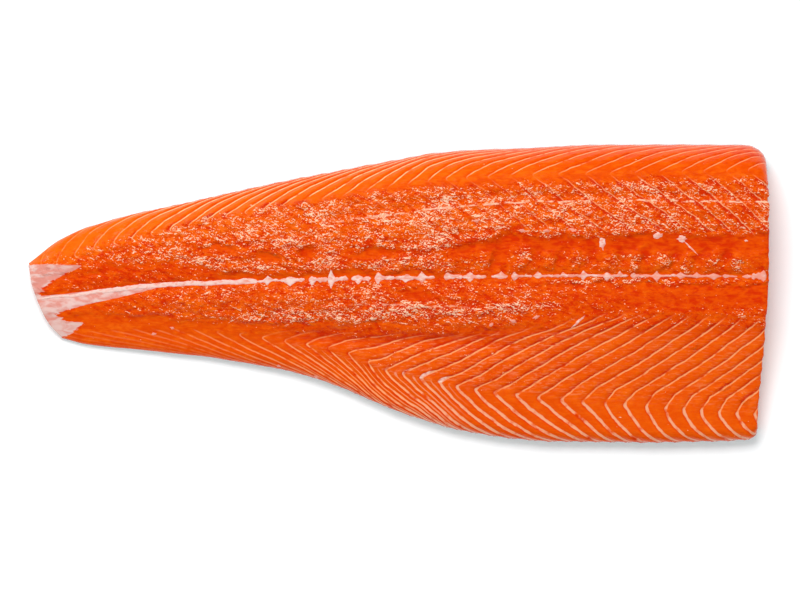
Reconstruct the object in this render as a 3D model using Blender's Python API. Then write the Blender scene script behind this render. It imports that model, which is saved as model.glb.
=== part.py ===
"""A raw side of salmon, laid skin side down: the tail half of a fish, filleted off the backbone.

X runs from the tail cut to the head cut, Y from the belly edge to the back edge, Z is up.
The origin is at the middle of the box, on the plane that the skin rests on.
The fillet is one solid: a sheet of cut flesh, a skin that turns in under it, and a flat foot.
"""

from math import cos, pi, radians, sin

import bmesh
import bpy
import numpy as np

MM = 0.001

# --- Driving sizes, in millimetres ---------------------------------------------------------------

# The edges of the fillet and the line where the backbone was, seen from above, tail end first.
BACK_EDGE = (
    (-200.0, 16.7),
    (-182.3, 29.6),
    (-168.8, 35.6),
    (-114.8, 49.2),
    (-6.8, 71.6),
    (20.0, 76.2),
    (60.0, 78.6),
    (101.0, 80.3),
    (130.0, 80.6),
    (186.6, 80.6),
)
SPINE_LINE = (
    (-195.2, -3.0),
    (-171.5, -0.3),
    (-133.0, 4.2),
    (-96.0, 6.0),
    (1.5, 8.4),
    (109.0, 9.6),
    (199.8, 9.2),
)
BELLY_EDGE = (
    (-181.6, -24.2),
    (-168.8, -27.4),
    (-128.3, -31.7),
    (-87.8, -37.0),
    (-47.3, -45.2),
    (6.8, -66.2),
    (33.8, -73.8),
    (60.8, -78.3),
    (90.0, -80.4),
    (130.0, -80.6),
    (189.4, -79.0),
)
# The cuts across both ends, from the spine line outward.
TAIL_CUT_TO_BACK = ((-195.2, -3.0), (-198.6, 6.5), (-200.0, 16.7))
TAIL_CUT_TO_BELLY = ((-195.2, -3.0), (-189.1, -15.4), (-181.6, -24.2))
HEAD_CUT_TO_BACK = ((199.8, 9.2), (200.0, 30.0), (199.6, 70.1))
HEAD_CUT_TO_BELLY = ((199.8, 9.2), (199.0, -9.0), (196.0, -50.0), (194.6, -74.0))
# How far the round corners at the head end reach, along X and along Y.
BACK_CORNER = (13.0, 10.5)
BELLY_CORNER = (5.2, 5.0)

# The flesh at its thickest, along the length.
LOIN_HEIGHT = (
    (-200.0, 7.5),
    (-185.0, 10.5),
    (-160.0, 15.0),
    (-100.0, 22.0),
    (0.0, 29.0),
    (100.0, 33.0),
    (200.0, 34.0),
)
# Shares of that height across the fillet: the belly edge is -1, the spine line 0, the back 1.
SECTION = (
    (-1.0, 0.42),
    (-0.75, 0.50),
    (-0.45, 0.68),
    (-0.15, 0.88),
    (0.0, 0.90),
    (0.2, 0.95),
    (0.45, 1.0),
    (0.75, 0.95),
    (1.0, 0.80),
)

# How the flesh turns down to its widest line: the width of the turn, and the share of the
# flesh's height at which that line runs.
BACK_TURN = (17.0, 0.42)
BELLY_TURN = (7.0, 0.55)
CUT_TURN = (2.5, 0.97)  # the knife leaves both cuts with a soft upper edge
WIDEST_TURN = 0.2  # a turn takes at most this share of the fillet's width

# How far the skin turns in below the widest line, and how far from the tail it takes to do so.
BACK_UNDERCUT = 9.0
BELLY_UNDERCUT = 3.5
UNDERCUT_GROWTH = 60.0
LEAST_UNDERCUT = 0.25

# Creases in the cut flesh: the share across at places along the length, depth, half width.
SPINE_CREASE = (((-200.0, 0.0), (240.0, 0.0)), 1.1, 4.5)
LOIN_CREASE = (((-60.0, 0.57), (0.0, 0.59), (240.0, 0.60)), 0.9, 4.0)
FLANK_CREASE = (((-70.0, -0.58), (-10.0, -0.49), (30.0, -0.42), (80.0, -0.42)), 1.6, 4.5)
CREASE_FADE = 28.0  # a crease dies away over this length at each end

# --- How finely the solid is divided -------------------------------------------------------------

COLUMNS = 80  # cells from tail to head
HALF_ROWS = 18  # cells from the spine line to either edge
SKIN_ROWS = 4  # cells from the widest line in under to the foot
CORNER_STEPS = 6
EDGE_CROWDING = 0.25  # how much closer together the rows are at the edges than at the spine

FLESH_COLOUR = (0.84, 0.14, 0.02, 1.0)
SKIN_COLOUR = (0.36, 0.37, 0.37, 1.0)


def clear_scene():
    """Removes whatever the scene holds at the start."""
    for obj in list(bpy.data.objects):
        bpy.data.objects.remove(obj, do_unlink=True)


def smooth_curve(points, at):
    """The y of a curve through the points at the given x. It never swings past a point."""
    knots, values = np.array(points, float).T
    step = np.diff(knots)
    slope = np.diff(values) / step
    tangent = np.concatenate([slope[:1], np.zeros(len(knots) - 2), slope[-1:]])
    for k in range(1, len(knots) - 1):
        before, after = slope[k - 1], slope[k]
        if before * after > 0:
            weight_before = 2 * step[k] + step[k - 1]
            weight_after = step[k] + 2 * step[k - 1]
            total = weight_before + weight_after
            tangent[k] = total / (weight_before / before + weight_after / after)
    cell = np.clip(np.searchsorted(knots, at) - 1, 0, len(step) - 1)
    width = step[cell]
    u = np.clip((at - knots[cell]) / width, 0.0, 1.0)
    rise = values[cell] + (values[cell + 1] - values[cell]) * u * u * (3 - 2 * u)
    bend = tangent[cell] * u * (1 - u) ** 2 - tangent[cell + 1] * u * u * (1 - u)
    return rise + bend * width


def corner(end, reach, turn):
    """The points of a quarter ellipse that goes on from the head end of an edge.

    A turn of -1 bends towards -Y, and a turn of 1 towards +Y.
    """
    angles = [pi / 2 * (k + 1) / CORNER_STEPS for k in range(CORNER_STEPS)]
    return tuple(
        (end[0] + reach[0] * sin(angle), end[1] + turn * reach[1] * (1 - cos(angle)))
        for angle in angles
    )


def along(edge, shares):
    """Points of an edge at the given shares of its length, as an array of x and y."""
    points = np.array(edge, float)
    run = np.concatenate([[0.0], np.cumsum(np.hypot(*np.diff(points, axis=0).T))])
    at = np.asarray(shares, float) * run[-1]
    axes = [smooth_curve(np.column_stack([run, points[:, axis]]), at) for axis in (0, 1)]
    return np.stack(axes, axis=-1)


def patch(inner, outer, start, end, lengthwise, across):
    """A grid of points stretched between four edges that meet at their ends.

    The first index runs along the inner and outer edges, the second from inner to outer.
    """
    inner, outer = along(inner, lengthwise), along(outer, lengthwise)
    start, end = along(start, across), along(end, across)
    f, g = lengthwise[:, None, None], across[None, :, None]
    ruled_across = (1 - g) * inner[:, None] + g * outer[:, None]
    ruled_lengthwise = (1 - f) * start[None] + f * end[None]
    inner_corners = (1 - f) * start[0] + f * end[0]
    outer_corners = (1 - f) * start[-1] + f * end[-1]
    return ruled_across + ruled_lengthwise - (1 - g) * inner_corners - g * outer_corners


def plan():
    """The fillet seen from above, as a grid of x and y, and the share across of each row.

    The first index runs from tail to head, the second from the belly over the spine to the back.
    """
    lengthwise = np.linspace(0.0, 1.0, COLUMNS + 1)
    even = np.linspace(0.0, 1.0, HALF_ROWS + 1)
    across = even + EDGE_CROWDING * (even - even**3)
    back_edge = BACK_EDGE + corner(BACK_EDGE[-1], BACK_CORNER, -1)
    belly_edge = BELLY_EDGE + corner(BELLY_EDGE[-1], BELLY_CORNER, 1)
    back = patch(SPINE_LINE, back_edge, TAIL_CUT_TO_BACK, HEAD_CUT_TO_BACK, lengthwise, across)
    belly = patch(SPINE_LINE, belly_edge, TAIL_CUT_TO_BELLY, HEAD_CUT_TO_BELLY, lengthwise, across)
    grid = np.concatenate([belly[:, :0:-1], back], axis=1)
    return grid, np.concatenate([-across[:0:-1], across])


def turn_down(distance, turn):
    """A share of the height: the turn's own share at an edge, rising along a quarter ellipse."""
    width, least = turn
    inward = np.clip(distance / width, 0.0, 1.0)
    return least + (1 - least) * np.sqrt(1 - (1 - inward) ** 2)


def crease_depth(crease, grid, share):
    """How deep a crease lies at each point of the grid."""
    line, depth, half_width = crease
    x = grid[..., 0]
    place = smooth_curve(line, x)
    to_edge = np.where(place < 0, grid[:, :1, 1], grid[:, -1:, 1]) - grid[:, HALF_ROWS, None, 1]
    offset = (share - place) * np.abs(to_edge) / half_width
    from_end = np.minimum(x - line[0][0], line[-1][0] - x)
    strength = np.clip(from_end / CREASE_FADE, 0.0, 1.0)
    return depth * strength * np.exp(-(offset**2))


def flesh_height(grid, share):
    """The height of the cut flesh over the foot at each point of the grid."""
    x, y = grid[..., 0], grid[..., 1]
    height = smooth_curve(LOIN_HEIGHT, x) * smooth_curve(SECTION, share)
    for crease in (SPINE_CREASE, LOIN_CREASE, FLANK_CREASE):
        height = height - crease_depth(crease, grid, share)
    widest = WIDEST_TURN * (y[:, -1:] - y[:, :1])
    back_turn = (np.minimum(BACK_TURN[0], widest), BACK_TURN[1])
    belly_turn = (np.minimum(BELLY_TURN[0], widest), BELLY_TURN[1])
    height = height * turn_down(y[:, -1:] - y, back_turn) * turn_down(y - y[:, :1], belly_turn)
    return height * turn_down(np.minimum(x - x[:1], x[-1:] - x), CUT_TURN)


def foot_point(point, share):
    """Where the skin under a point of the widest line meets the ground."""
    from_tail = point[0] - BACK_EDGE[0][0]
    growth = np.clip(from_tail / UNDERCUT_GROWTH, LEAST_UNDERCUT, 1.0)
    inward = -BACK_UNDERCUT * share**5 if share > 0 else -BELLY_UNDERCUT * share**5
    return np.array([point[0], point[1] + inward * growth, 0.0])


def rim_indices():
    """Grid indices round the edge, anticlockwise from the tail's belly corner."""
    rows = 2 * HALF_ROWS
    belly = [(i, 0) for i in range(COLUMNS)]
    head = [(COLUMNS, j) for j in range(rows)]
    back = [(i, rows) for i in range(COLUMNS, 0, -1)]
    tail = [(0, j) for j in range(rows, 0, -1)]
    return belly + head + back + tail


def add_flesh(bm, points):
    """Adds the cut flesh as a grid of faces, and returns its outer ring of vertices."""
    verts = [[bm.verts.new(point * MM) for point in column] for column in points]
    for left, right in zip(verts, verts[1:]):
        for j in range(2 * HALF_ROWS):
            bm.faces.new((left[j], right[j], right[j + 1], left[j + 1]))
    return [verts[i][j] for i, j in rim_indices()]


def add_skin(bm, points, share, upper):
    """Adds rings of faces that turn in from the flesh's rim, and closes them with a flat foot."""
    for k in range(1, SKIN_ROWS + 1):
        turn = k / SKIN_ROWS * pi / 2
        lower = []
        for i, j in rim_indices():
            top = points[i, j]
            point = top + (foot_point(top, share[j]) - top) * (1 - cos(turn))
            point[2] = top[2] * (1 - sin(turn)) if k < SKIN_ROWS else 0.0
            lower.append(bm.verts.new(point * MM))
        for n, vert in enumerate(lower):
            after = (n + 1) % len(lower)
            bm.faces.new((vert, lower[after], upper[after], upper[n]))
        upper = lower
    bm.faces.new(upper[::-1])


def make_material(name, colour, roughness):
    """A plain wet surface of one colour."""
    material = bpy.data.materials.new(name)
    material.use_nodes = True
    shader = material.node_tree.nodes["Principled BSDF"]
    shader.inputs["Base Color"].default_value = colour
    shader.inputs["Roughness"].default_value = roughness
    shader.inputs["Metallic"].default_value = 0.0
    material.diffuse_color = colour
    return material


def build_fillet(collection):
    """Builds the whole fillet as one closed solid, its flesh and its skin in their own colours."""
    grid, share = plan()
    points = np.dstack([grid, flesh_height(grid, share)])
    bm = bmesh.new()
    rim = add_flesh(bm, points)
    flesh_faces = len(bm.faces)
    add_skin(bm, points, share, rim)
    mesh = bpy.data.meshes.new("salmon_fillet")
    bm.to_mesh(mesh)
    bm.free()

    mesh.materials.append(make_material("salmon_flesh", FLESH_COLOUR, 0.35))
    mesh.materials.append(make_material("salmon_skin", SKIN_COLOUR, 0.3))
    for face in mesh.polygons[flesh_faces:]:
        at_a_cut = abs(face.normal.x) > abs(face.normal.y) and abs(face.normal.x) > 0.7
        face.material_index = 0 if at_a_cut else 1
    mesh.shade_smooth()
    mesh.set_sharp_from_angle(angle=radians(40.0))
    collection.objects.link(bpy.data.objects.new("salmon_fillet", mesh))


def main():
    """Makes the fillet in a collection of its own."""
    clear_scene()
    collection = bpy.data.collections.new("raw_salmon_fillet")
    bpy.context.scene.collection.children.link(collection)
    build_fillet(collection)


main()
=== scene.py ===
"""Dresses a raw side of salmon: its cut flesh, the strip along its backbone line, and its skin.

All sizes are in millimetres until a mesh is made. X runs from the tail cut to the head cut, Y
from the belly edge to the back edge, and Z up. "Across" is the distance over the surface from
the spine line, positive towards the back and negative towards the belly.
"""

import logging
from dataclasses import dataclass, field
from enum import Enum, IntEnum
from math import atan2, cos, pi, radians, sin

import bpy
import numpy as np
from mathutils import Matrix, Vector, noise


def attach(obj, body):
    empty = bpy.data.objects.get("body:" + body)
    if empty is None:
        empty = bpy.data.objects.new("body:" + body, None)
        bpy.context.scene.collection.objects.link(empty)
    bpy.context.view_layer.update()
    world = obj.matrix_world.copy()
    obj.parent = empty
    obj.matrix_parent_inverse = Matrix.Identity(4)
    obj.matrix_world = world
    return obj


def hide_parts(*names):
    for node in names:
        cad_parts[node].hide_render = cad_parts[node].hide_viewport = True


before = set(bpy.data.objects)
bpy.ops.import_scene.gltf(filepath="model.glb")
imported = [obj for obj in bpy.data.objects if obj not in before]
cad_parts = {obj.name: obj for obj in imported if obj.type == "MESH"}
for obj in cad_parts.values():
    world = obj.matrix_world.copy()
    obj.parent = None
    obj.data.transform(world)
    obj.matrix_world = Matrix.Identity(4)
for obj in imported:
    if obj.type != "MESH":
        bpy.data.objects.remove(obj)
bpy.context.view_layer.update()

LOG = logging.getLogger("salmon_fillet")
MM = 0.001
NODE = "salmon_fillet"

Points = tuple[tuple[float, float], ...]
Colour = tuple[float, float, float]


def linear(colour: Colour) -> tuple[float, float, float, float]:
    """Turns an sRGB colour of 0 to 255 into the linear RGBA that shaders take."""
    parts = [value / 255.0 for value in colour]
    bent = [v / 12.92 if v <= 0.04045 else ((v + 0.055) / 1.055) ** 2.4 for v in parts]
    return (*bent, 1.0)


def ease(value: np.ndarray) -> np.ndarray:
    """A smooth step from 0 to 1 while the value goes from 0 to 1."""
    value = np.clip(value, 0.0, 1.0)
    return value * value * (3 - 2 * value)


def grain(places: np.ndarray, size: float, octaves: int = 1, offset: float = 0.0) -> np.ndarray:
    """Smooth noise at each place.

    Args:
        places: Points in millimetres, one row each.
        size: The width of the largest lumps, in millimetres.
        octaves: How many times finer lumps are added.
        offset: Moves to another part of the same noise.

    Returns:
        One value for each place, about -1 to 1.
    """
    scaled = (places / size + offset).tolist()
    return np.array([noise.fractal(place, 1.0, 2.0, octaves) for place in scaled])


@dataclass(frozen=True)
class Curve:
    """A smooth curve through a few points, which never swings past them."""

    points: Points

    def at(self, x: np.ndarray) -> np.ndarray:
        """Reads the curve.

        Args:
            x: Where to read it. Past its ends the curve runs on straight.

        Returns:
            The curve's value at each x.
        """
        knots, values = np.array(self.points, float).T
        step = np.diff(knots)
        slope = np.diff(values) / step
        tangent = np.concatenate([slope[:1], np.zeros(len(knots) - 2), slope[-1:]])
        for k in range(1, len(knots) - 1):
            before, after = slope[k - 1], slope[k]
            if before * after > 0:
                weight_before = 2 * step[k] + step[k - 1]
                weight_after = step[k] + 2 * step[k - 1]
                total = weight_before + weight_after
                tangent[k] = total / (weight_before / before + weight_after / after)
        x = np.asarray(x, float)
        inside = np.clip(x, knots[0], knots[-1])
        cell = np.clip(np.searchsorted(knots, inside) - 1, 0, len(step) - 1)
        width = step[cell]
        u = (inside - knots[cell]) / width
        rise = values[cell] + (values[cell + 1] - values[cell]) * u * u * (3 - 2 * u)
        bend = tangent[cell] * u * (1 - u) ** 2 - tangent[cell + 1] * u * u * (1 - u)
        end_slope = np.where(x < inside, tangent[0], tangent[-1])
        return rise + bend * width + end_slope * (x - inside)


def level(value: float) -> Curve:
    """A curve that has the same value everywhere."""
    return Curve(((0.0, value), (1.0, value)))


@dataclass(frozen=True)
class Crease:
    """A shallow furrow in the cut flesh.

    The line gives its share of the way from the spine line to an edge, along the length.
    """

    line: Curve
    depth: float
    half_width: float
    fade: float = 28.0


@dataclass(frozen=True)
class FilletForm:
    """The bare form of the fillet, with the sizes that the solid has."""

    back_edge: Points = (
        (-200.0, 16.7),
        (-182.3, 29.6),
        (-168.8, 35.6),
        (-114.8, 49.2),
        (-6.8, 71.6),
        (20.0, 76.2),
        (60.0, 78.6),
        (101.0, 80.3),
        (130.0, 80.6),
        (186.6, 80.6),
    )
    spine_line: Points = (
        (-195.2, -3.0),
        (-171.5, -0.3),
        (-133.0, 4.2),
        (-96.0, 6.0),
        (1.5, 8.4),
        (109.0, 9.6),
        (199.8, 9.2),
    )
    belly_edge: Points = (
        (-181.6, -24.2),
        (-168.8, -27.4),
        (-128.3, -31.7),
        (-87.8, -37.0),
        (-47.3, -45.2),
        (6.8, -66.2),
        (33.8, -73.8),
        (60.8, -78.3),
        (90.0, -80.4),
        (130.0, -80.6),
        (189.4, -79.0),
    )
    tail_cut_to_back: Points = ((-195.2, -3.0), (-198.6, 6.5), (-200.0, 16.7))
    tail_cut_to_belly: Points = ((-195.2, -3.0), (-189.1, -15.4), (-181.6, -24.2))
    head_cut_to_back: Points = ((199.8, 9.2), (200.0, 30.0), (199.6, 70.1))
    head_cut_to_belly: Points = ((199.8, 9.2), (199.0, -9.0), (196.0, -50.0), (194.6, -74.0))
    back_corner: tuple[float, float] = (13.0, 10.5)
    belly_corner: tuple[float, float] = (5.2, 5.0)
    corner_steps: int = 6

    loin_height: Curve = Curve(
        (
            (-200.0, 7.5),
            (-185.0, 10.5),
            (-160.0, 15.0),
            (-100.0, 22.0),
            (0.0, 29.0),
            (100.0, 33.0),
            (200.0, 34.0),
        )
    )
    section: Curve = Curve(
        (
            (-1.0, 0.42),
            (-0.75, 0.50),
            (-0.45, 0.68),
            (-0.15, 0.88),
            (0.0, 0.90),
            (0.2, 0.95),
            (0.45, 1.0),
            (0.75, 0.95),
            (1.0, 0.80),
        )
    )
    back_turn: tuple[float, float] = (17.0, 0.42)
    belly_turn: tuple[float, float] = (7.0, 0.55)
    cut_turn: tuple[float, float] = (2.5, 0.97)
    widest_turn: float = 0.2
    back_undercut: float = 9.0
    belly_undercut: float = 3.5
    undercut_growth: float = 60.0
    least_undercut: float = 0.25
    creases: tuple[Crease, ...] = (
        Crease(Curve(((-200.0, 0.0), (240.0, 0.0))), 1.1, 4.5),
        Crease(Curve(((-60.0, 0.57), (0.0, 0.59), (240.0, 0.60))), 0.9, 4.0),
        Crease(Curve(((-70.0, -0.58), (-10.0, -0.49), (30.0, -0.42), (80.0, -0.42))), 1.6, 4.5),
    )

    columns: int = 480
    half_rows: int = 88
    skin_rows: int = 9
    edge_crowding: float = 0.25

    def spine_at(self, x: np.ndarray) -> np.ndarray:
        """The y of the spine line at the given x."""
        return Curve(self.spine_line).at(x)

    def corner(self, end: tuple[float, float], reach: tuple[float, float], turn: int) -> Points:
        """Continues the head end of an edge along a quarter ellipse.

        Args:
            end: Where the ellipse starts.
            reach: How far it goes along X and along Y.
            turn: 1 to bend towards +Y, -1 towards -Y.

        Returns:
            The points of the quarter ellipse.
        """
        angles = [pi / 2 * (k + 1) / self.corner_steps for k in range(self.corner_steps)]
        return tuple(
            (end[0] + reach[0] * sin(angle), end[1] + turn * reach[1] * (1 - cos(angle)))
            for angle in angles
        )

    def along(self, edge: Points, shares: np.ndarray) -> np.ndarray:
        """Points of an edge at the given shares of its length, as rows of x and y."""
        points = np.array(edge, float)
        run = np.concatenate([[0.0], np.cumsum(np.hypot(*np.diff(points, axis=0).T))])
        axes = [tuple(zip(run, points[:, axis])) for axis in (0, 1)]
        return np.stack([Curve(axis).at(shares * run[-1]) for axis in axes], axis=-1)

    def patch(self, outer: Points, start: Points, end: Points, across: np.ndarray) -> np.ndarray:
        """Stretches a grid between the spine line and an outer edge.

        Args:
            outer: The back or the belly edge.
            start: The tail cut from the spine line to that edge.
            end: The head cut from the spine line to that edge.
            across: The share of the way to the edge of each row.

        Returns:
            The x and y of the grid's points, indexed from tail to head and then outward.
        """
        lengthwise = np.linspace(0.0, 1.0, self.columns + 1)
        inner = self.along(self.spine_line, lengthwise)
        outer_points = self.along(outer, lengthwise)
        start_points, end_points = self.along(start, across), self.along(end, across)
        f, g = lengthwise[:, None, None], across[None, :, None]
        ruled_across = (1 - g) * inner[:, None] + g * outer_points[:, None]
        ruled_lengthwise = (1 - f) * start_points[None] + f * end_points[None]
        inner_corners = (1 - f) * start_points[0] + f * end_points[0]
        outer_corners = (1 - f) * start_points[-1] + f * end_points[-1]
        corners = (1 - g) * inner_corners + g * outer_corners
        return ruled_across + ruled_lengthwise - corners

    def plan(self) -> tuple[np.ndarray, np.ndarray]:
        """The fillet seen from above.

        Returns:
            A grid of x and y from tail to head and from belly to back, and each row's share
            of the way from the spine line to its edge, negative on the belly side.
        """
        even = np.linspace(0.0, 1.0, self.half_rows + 1)
        across = even + self.edge_crowding * (even - even**3)
        back_edge = self.back_edge + self.corner(self.back_edge[-1], self.back_corner, -1)
        belly_edge = self.belly_edge + self.corner(self.belly_edge[-1], self.belly_corner, 1)
        back = self.patch(back_edge, self.tail_cut_to_back, self.head_cut_to_back, across)
        belly = self.patch(belly_edge, self.tail_cut_to_belly, self.head_cut_to_belly, across)
        grid = np.concatenate([belly[:, :0:-1], back], axis=1)
        return grid, np.concatenate([-across[:0:-1], across])

    def turn_down(self, distance: np.ndarray, width: np.ndarray, least: float) -> np.ndarray:
        """The share of its height that the flesh keeps near an edge.

        Args:
            distance: How far each point is from the edge.
            width: How far in the flesh starts to turn down.
            least: The share that is left at the edge.

        Returns:
            A share from least to 1, along a quarter ellipse.
        """
        inward = np.clip(distance / width, 0.0, 1.0)
        return least + (1 - least) * np.sqrt(1 - (1 - inward) ** 2)

    def crease_depth(self, crease: Crease, grid: np.ndarray, share: np.ndarray) -> np.ndarray:
        """How deep a crease lies at each point of the grid from plan()."""
        x = grid[..., 0]
        place = crease.line.at(x)
        edge = np.where(place < 0, grid[:, :1, 1], grid[:, -1:, 1])
        width = np.abs(edge - grid[:, self.half_rows, None, 1])
        offset = (share - place) * width / crease.half_width
        from_end = np.minimum(x - crease.line.points[0][0], crease.line.points[-1][0] - x)
        strength = np.clip(from_end / crease.fade, 0.0, 1.0)
        return crease.depth * strength * np.exp(-(offset**2))

    def flesh_height(self, grid: np.ndarray, share: np.ndarray) -> np.ndarray:
        """The height of the cut flesh at each point of the grid from plan()."""
        x, y = grid[..., 0], grid[..., 1]
        height = self.loin_height.at(x) * self.section.at(share)
        for crease in self.creases:
            height = height - self.crease_depth(crease, grid, share)
        widest = self.widest_turn * (y[:, -1:] - y[:, :1])
        back_width = np.minimum(self.back_turn[0], widest)
        belly_width = np.minimum(self.belly_turn[0], widest)
        height = height * self.turn_down(y[:, -1:] - y, back_width, self.back_turn[1])
        height = height * self.turn_down(y - y[:, :1], belly_width, self.belly_turn[1])
        from_cut = np.minimum(x - x[:1], x[-1:] - x)
        return height * self.turn_down(from_cut, *self.cut_turn)

    def foot(self, rim: np.ndarray, share: np.ndarray) -> np.ndarray:
        """Where the skin meets the ground under each point of the widest line."""
        tail_end = self.back_edge[0][0]
        growth = (rim[:, 0] - tail_end) / self.undercut_growth
        growth = np.clip(growth, self.least_undercut, 1.0)
        depth = np.where(share > 0, self.back_undercut, self.belly_undercut)
        feet = rim.copy()
        feet[:, 1] -= depth * share**5 * growth
        feet[:, 2] = 0.0
        return feet


@dataclass(frozen=True)
class MuscleBlocks:
    """The stack of muscle blocks on one side of the spine line.

    The thin white walls between the blocks run in a zigzag. On each side they come to a tip that
    points to the tail, and lean towards the head on both sides of it.
    """

    tips: Curve  # how far from the spine line the tips lie
    count: Curve  # how many blocks lie between the tail and a tip
    near_lean: Curve  # how far a wall leans to the head for each mm inward, close to the tips
    inner_lean: Curve  # and further in
    edge_lean: Curve  # and outward of the tips, close to them
    outer_lean: Curve  # and further out
    outer_bend: Curve  # how much the lean grows further out with each mm
    gather: Curve  # how strongly the walls flatten towards the line where they gather
    gather_line: Curve
    near: float = 7.0
    edge_near: float = 0.0
    tip_radius: float = 0.7
    depth_lean: float = 0.55  # how far the walls lean to the head for each mm of depth
    probe: float = 0.05

    def inner_shift(self, x: np.ndarray, inward: np.ndarray) -> np.ndarray:
        """How far a wall has leant to the head at a distance inward of its tip."""
        close, far = np.minimum(inward, self.near), np.maximum(inward - self.near, 0.0)
        reach = np.maximum(self.tips.at(x) - self.gather_line.at(x), 0.0) + 1.0
        left = np.maximum(reach - inward, 1.0)
        flattening = np.maximum(self.gather.at(x), 0.0) * np.log(reach / left)
        return close * self.near_lean.at(x) + far * self.inner_lean.at(x) + flattening

    def outer_shift(self, x: np.ndarray, outward: np.ndarray) -> np.ndarray:
        """How far a wall has leant to the head at a distance outward of its tip."""
        close, far = np.minimum(outward, self.edge_near), np.maximum(outward - self.edge_near, 0.0)
        return close * self.edge_lean.at(x) + far * (self.outer_lean.at(x) + self.outer_bend.at(x) * far)

    def number(self, x: np.ndarray, out: np.ndarray, depth: np.ndarray) -> np.ndarray:
        """Counts the blocks: whole numbers lie on the walls between them.

        Args:
            x: Places along the fillet.
            out: Distances from the spine line over the surface.
            depth: Distances below the cut flesh, on a cut face.

        Returns:
            The block number at each place.
        """
        past_tip = out - self.tips.at(x)
        rounded = np.sqrt(past_tip**2 + self.tip_radius**2) - self.tip_radius
        shift = np.where(past_tip > 0, self.outer_shift(x, rounded), self.inner_shift(x, rounded))
        return self.count.at(x - shift + self.depth_lean * depth)

    def spacing(self, x: np.ndarray, out: np.ndarray, depth: np.ndarray) -> np.ndarray:
        """The distance between neighbouring walls, square to them, at each place."""
        step = self.probe
        along = self.number(x + step, out, depth) - self.number(x - step, out, depth)
        across = self.number(x, out + step, depth) - self.number(x, out - step, depth)
        return 2 * step / np.maximum(np.hypot(along, across), 1e-6)


@dataclass(frozen=True)
class Band:
    """A soft-edged strip of the flesh, between two distances across."""

    low: Curve
    high: Curve
    amount: Curve
    soft: float = 3.0

    def at(self, x: np.ndarray, across: np.ndarray) -> np.ndarray:
        """How strong the band is at each place, from 0 up to its amount there."""
        inside = ease((across - self.low.at(x)) / self.soft + 0.5)
        inside = inside * ease((self.high.at(x) - across) / self.soft + 0.5)
        return np.maximum(self.amount.at(x), 0.0) * inside


BACK_BLOCKS = MuscleBlocks(
    tips=Curve(
        (
            (-200.0, 13.0),
            (-170.0, 23.0),
            (-123.0, 30.2),
            (-95.0, 35.9),
            (-50.0, 42.8),
            (-7.0, 47.7),
            (17.6, 52.7),
            (50.0, 54.6),
            (109.0, 55.6),
            (190.0, 58.0),
        )
    ),
    count=Curve(
        (
            (-200.0, -7.5),
            (-123.0, 0.0),
            (-50.5, 7.05),
            (-15.6, 10.2),
            (4.5, 11.9),
            (26.6, 14.0),
            (60.8, 17.0),
            (128.3, 22.0),
            (189.0, 27.0),
            (240.0, 31.5),
        )
    ),
    near_lean=level(1.3),
    inner_lean=Curve(((-100.0, 1.15), (80.0, 1.1), (140.0, 1.4), (190.0, 1.1))),
    edge_near=8.0,
    edge_lean=Curve(
        ((-140.0, 1.2), (-100.0, 1.8), (-60.0, 1.8), (20.0, 1.3), (60.0, 1.85), (100.0, 2.2), (180.0, 1.65))
    ),
    outer_lean=Curve(((-140.0, 1.5), (-60.0, 2.1), (-20.0, 1.65), (60.0, 2.35), (100.0, 1.5), (180.0, 2.2))),
    outer_bend=level(0.08),
    gather=level(0.0),
    gather_line=level(0.0),
)
BELLY_BLOCKS = MuscleBlocks(
    tips=Curve(
        (
            (-200.0, 19.0),
            (-121.8, 24.2),
            (-85.0, 30.4),
            (-50.0, 36.4),
            (-26.0, 42.0),
            (-5.7, 51.7),
            (13.2, 55.8),
            (32.7, 61.0),
            (64.0, 66.0),
            (112.0, 70.6),
            (183.0, 75.8),
        )
    ),
    count=Curve(
        (
            (-200.0, -35.0),
            (-121.8, -28.0),
            (-73.2, -24.0),
            (-26.2, -20.0),
            (13.2, -16.0),
            (52.7, -12.0),
            (100.2, -8.0),
            (145.0, -4.0),
            (183.3, 0.0),
            (240.0, 5.8),
        )
    ),
    near_lean=Curve(
        ((-30.0, 1.1), (0.0, 1.2), (30.0, 1.4), (60.0, 1.6), (90.0, 1.2), (120.0, 0.8), (150.0, 0.6), (185.0, 0.65))
    ),
    inner_lean=Curve(
        ((-30.0, 0.95), (30.0, 1.1), (60.0, 1.17), (90.0, 1.4), (120.0, 1.46), (150.0, 1.4), (185.0, 1.28))
    ),
    edge_lean=level(0.0),
    outer_lean=Curve(
        (
            (-120.0, 2.4),
            (-60.0, 1.8),
            (-30.0, 1.1),
            (0.0, 0.97),
            (30.0, 0.97),
            (60.0, 1.15),
            (90.0, 1.3),
            (120.0, 0.55),
            (150.0, 0.3),
            (185.0, 0.5),
        )
    ),
    outer_bend=Curve(((0.0, 0.045), (60.0, 0.015), (90.0, 0.015), (120.0, 0.03), (185.0, 0.032))),
    gather=Curve(((-30.0, 5.0), (30.0, 5.0), (60.0, 2.5), (90.0, 2.6), (120.0, 3.2), (150.0, 2.3), (185.0, 0.0))),
    gather_line=Curve(((-62.0, 29.0), (-10.0, 31.5), (30.0, 33.0), (72.0, 31.0), (130.0, 22.0))),
)


@dataclass(frozen=True)
class Seam:
    """A pale thread of tissue that runs along the fillet."""

    line: Curve  # its distance across, along the length
    amount: Curve  # how plainly it shows


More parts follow.
